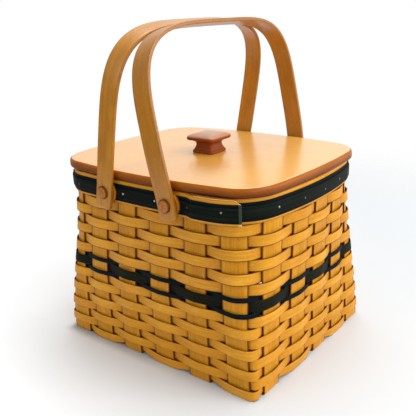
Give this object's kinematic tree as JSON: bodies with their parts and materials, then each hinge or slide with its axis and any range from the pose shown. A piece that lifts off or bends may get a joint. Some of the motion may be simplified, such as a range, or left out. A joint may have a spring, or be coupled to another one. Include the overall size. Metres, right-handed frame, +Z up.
{
  "type": "pie basket",
  "caption": "Woven splint pie basket with dark accent rows and rim trim, swinging bow handles on wooden pegs, and a lift-off bowed wooden lid with a square knob.",
  "frame": {"origin": "middle of the base, on the surface that the basket stands on", "axes": "+Z up, +X along the long front face to its right end, -Y out of the front face where the handle pegs are"},
  "size_m": [0.3064, 0.2772, 0.3854],
  "materials": {
    "upright_natural": "satin varnish",
    "weaver_natural": "satin varnish",
    "weaver_dark_wide": "dark green-black dye under satin varnish",
    "weaver_dark_narrow": "blue-black dye under satin varnish",
    "rim_natural": "satin varnish",
    "rim_trim_dark": "dark green-black dye under satin varnish",
    "rim_strip_dark": "blue-black dye under satin varnish",
    "ear_wood": "satin varnish",
    "peg_wood": "satin varnish",
    "handle_wood": "satin varnish",
    "lid_maple": "gloss varnish",
    "knob_wood": "gloss varnish",
    "screw_steel": "plain steel"
  },
  "bodies": {
    "basket": {"front_back_upright_1": "upright_natural", "front_back_upright_2": "upright_natural", "front_back_upright_3": "upright_natural", "front_back_upright_4": "upright_natural", "front_back_upright_5": "upright_natural", "front_back_upright_6": "upright_natural", "side_side_upright_1": "upright_natural", "side_side_upright_2": "upright_natural", "side_side_upright_3": "upright_natural", "side_side_upright_4": "upright_natural", "side_side_upright_5": "upright_natural", "lower_weaver_1": "weaver_natural", "lower_weaver_2": "weaver_natural", "lower_weaver_3": "weaver_natural", "lower_weaver_4": "weaver_natural", "lower_weaver_5": "weaver_natural", "lower_weaver_6": "weaver_natural", "lower_weaver_7": "weaver_natural", "lower_weaver_8": "weaver_natural", "accent_weaver_narrow_lower": "weaver_dark_narrow", "accent_weaver_wide": "weaver_dark_wide", "accent_weaver_narrow_upper": "weaver_dark_narrow", "upper_weaver_1": "weaver_natural", "upper_weaver_2": "weaver_natural", "upper_weaver_3": "weaver_natural", "upper_weaver_4": "weaver_natural", "upper_weaver_5": "weaver_natural", "upper_weaver_6": "weaver_natural", "inner_rim_band": "rim_natural", "outer_rim_band": "rim_natural", "trim_band": "rim_trim_dark", "trim_strip": "rim_strip_dark", "handle_ear_front_left": "ear_wood", "handle_ear_front_right": "ear_wood", "handle_ear_back_left": "ear_wood", "handle_ear_back_right": "ear_wood", "handle_peg_front_left": "peg_wood", "handle_peg_front_right": "peg_wood", "handle_peg_back_left": "peg_wood", "handle_peg_back_right": "peg_wood"},
    "handle_left": {"handle_left": "handle_wood"},
    "handle_right": {"handle_right": "handle_wood"},
    "lid": {"lid_board": "lid_maple", "lid_batten_left": "lid_maple", "lid_batten_right": "lid_maple", "lid_knob": "knob_wood", "knob_screw": "screw_steel"}
  },
  "joints": [
    {"name": "handle_left_swing", "type": "hinge", "parent": "basket", "child": "handle_left", "pos_m": [-0.0467, 0, 0.2042], "axis": [0, -1, 0], "range_deg": [0, 150]},
    {"name": "handle_right_swing", "type": "hinge", "parent": "basket", "child": "handle_right", "pos_m": [0.0467, 0, 0.2042], "axis": [0, 1, 0], "range_deg": [0, 150]},
    {"name": "lid_lift", "type": "slide", "parent": "basket", "child": "lid", "axis": [0, 0, 1], "range_m": [0, 0.1]}
  ]
}
